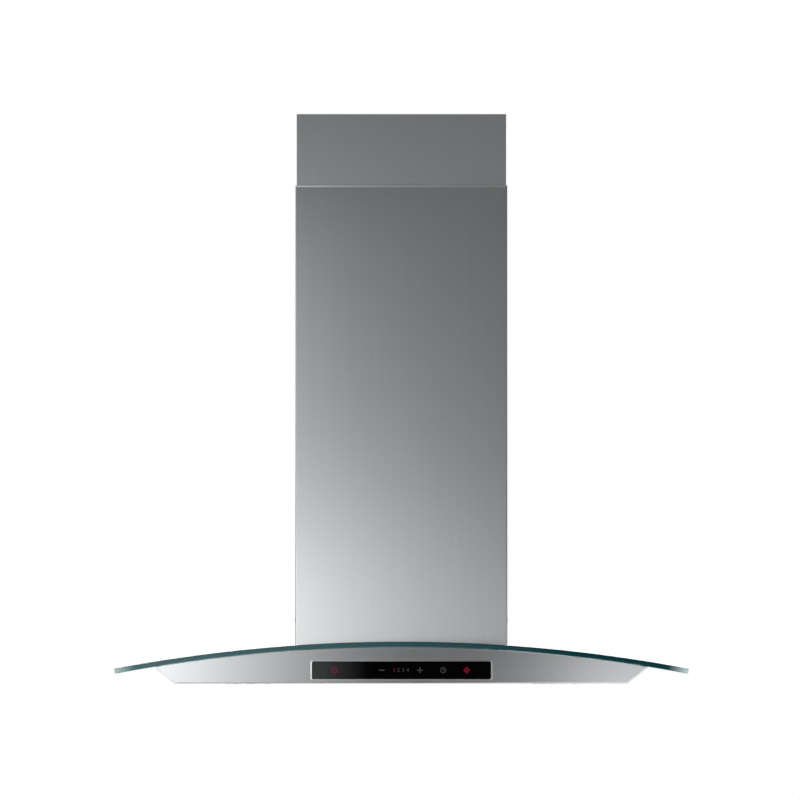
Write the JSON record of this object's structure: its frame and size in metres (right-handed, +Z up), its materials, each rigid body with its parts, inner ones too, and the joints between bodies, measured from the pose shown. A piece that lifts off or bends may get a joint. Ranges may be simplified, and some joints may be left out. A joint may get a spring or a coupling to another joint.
{
  "type": "wall mount range hood",
  "caption": "Wall-mounted range hood with a bent glass canopy on a flared steel tray, a telescopic chimney, a touch panel, lamps, grease filters and a centrifugal blower.",
  "frame": {"origin": "centre of the wall plate's four screw holes, on the wall", "axes": "+X to the viewer's right, +Y into the wall so the front faces -Y, +Z up"},
  "size_m": [0.9, 0.49, 0.8945],
  "materials": {
    "brushed_stainless": "satin brushed, grain upright on the chimney and along the fascia",
    "galvanised_steel": "plain galvanised sheet",
    "canopy_glass": "clear bent glass, green at the edge",
    "silicone": "matt black",
    "nylon": "natural nylon",
    "nylon_black": "matt black",
    "screw_steel": "bright",
    "housing_plastic": "moulded, matt",
    "wheel_plastic": "moulded, matt",
    "motor_paint": "satin",
    "lamination": "stacked sheet",
    "ground_steel": "ground",
    "capacitor_white": "smooth",
    "collar_plastic": "moulded, matt",
    "flap_plastic": "moulded, matt",
    "box_plastic": "moulded, light grey",
    "circuit_board": "green solder mask",
    "cable_sheath": "smooth",
    "control_glass_black": "gloss black, printed behind",
    "lamp_trim": "polished",
    "frosted_lens": "frosted",
    "lamp_circuit": "white board",
    "lamp_body": "die cast",
    "filter_aluminium": "rolled",
    "filter_mesh_aluminium": "expanded mesh",
    "handle_plastic": "moulded, matt",
    "spring_steel": "bright"
  },
  "bodies": {
    "hood": {"canopy_shell": "brushed_stainless", "lower_chimney": "brushed_stainless", "control_bezel": "brushed_stainless", "canopy_top_plate": "galvanised_steel", "plenum_divider": "galvanised_steel", "blower_box": "galvanised_steel", "blower_lid": "galvanised_steel", "chimney_ties": "galvanised_steel", "wall_plate": "galvanised_steel", "motor_spider": "galvanised_steel", "glass_canopy": "canopy_glass", "glass_seal": "silicone", "glass_bushes": "nylon", "glass_screws": "screw_steel", "lower_chimney_screws": "screw_steel", "spider_screws": "screw_steel", "chimney_glides": "nylon", "scroll_left": "housing_plastic", "scroll_right": "housing_plastic", "motor_can": "motor_paint", "motor_end_shield": "motor_paint", "motor_stator": "lamination", "motor_bearings": "ground_steel", "damper_pin": "ground_steel", "motor_capacitor": "capacitor_white", "outlet_collar": "collar_plastic", "electronics_tray": "box_plastic", "electronics_cover": "box_plastic", "control_tray": "box_plastic", "power_board": "circuit_board", "touch_board": "circuit_board", "cable_gland": "nylon_black", "control_cable": "cable_sheath", "lamp_leads": "cable_sheath", "control_glass": "control_glass_black", "lamp_bezel_left": "lamp_trim", "lamp_lens_left": "frosted_lens", "lamp_board_left": "lamp_circuit", "lamp_housing_left": "lamp_body", "filter_clip_left": "spring_steel", "lamp_bezel_right": "lamp_trim", "lamp_lens_right": "frosted_lens", "lamp_board_right": "lamp_circuit", "lamp_housing_right": "lamp_body", "filter_clip_right": "spring_steel", "filter_pivots": "nylon"},
    "chimney_extension": {"upper_chimney": "brushed_stainless", "chimney_bracket": "galvanised_steel", "upper_chimney_screws": "screw_steel"},
    "fan_rotor": {"fan_wheel": "wheel_plastic", "motor_shaft": "ground_steel", "motor_rotor": "lamination"},
    "damper_left": {"damper_flap_left": "flap_plastic"},
    "damper_right": {"damper_flap_right": "flap_plastic"},
    "filter_left": {"filter_frame_left": "filter_aluminium", "filter_mesh_left": "filter_mesh_aluminium", "filter_handle_left": "handle_plastic"},
    "filter_right": {"filter_frame_right": "filter_aluminium", "filter_mesh_right": "filter_mesh_aluminium", "filter_handle_right": "handle_plastic"}
  },
  "joints": [
    {"name": "chimney_extension_slide", "type": "slide", "parent": "hood", "child": "chimney_extension", "axis": [0, 0, 1], "range_m": [-0.08, 0.25]},
    {"name": "fan_spin", "type": "hinge", "parent": "hood", "child": "fan_rotor", "pos_m": [0, -0.12415, -0.01525], "axis": [1, 0, 0], "continuous": true},
    {"name": "damper_left_hinge", "type": "hinge", "parent": "hood", "child": "damper_left", "pos_m": [0, -0.09432, 0.1629], "axis": [0, 1, 0], "range_deg": [0, 75]},
    {"name": "damper_right_hinge", "type": "hinge", "parent": "hood", "child": "damper_right", "pos_m": [0, -0.09432, 0.1629], "axis": [0, -1, 0], "range_deg": [0, 75]},
    {"name": "filter_left_hinge", "type": "hinge", "parent": "hood", "child": "filter_left", "pos_m": [-0.168, -0.069, -0.2052], "axis": [1, 0, 0], "range_deg": [0, 75], "deforming": ["filter_clip_left"]},
    {"name": "filter_right_hinge", "type": "hinge", "parent": "hood", "child": "filter_right", "pos_m": [0.168, -0.069, -0.2052], "axis": [1, 0, 0], "range_deg": [0, 75], "deforming": ["filter_clip_right"]}
  ]
}
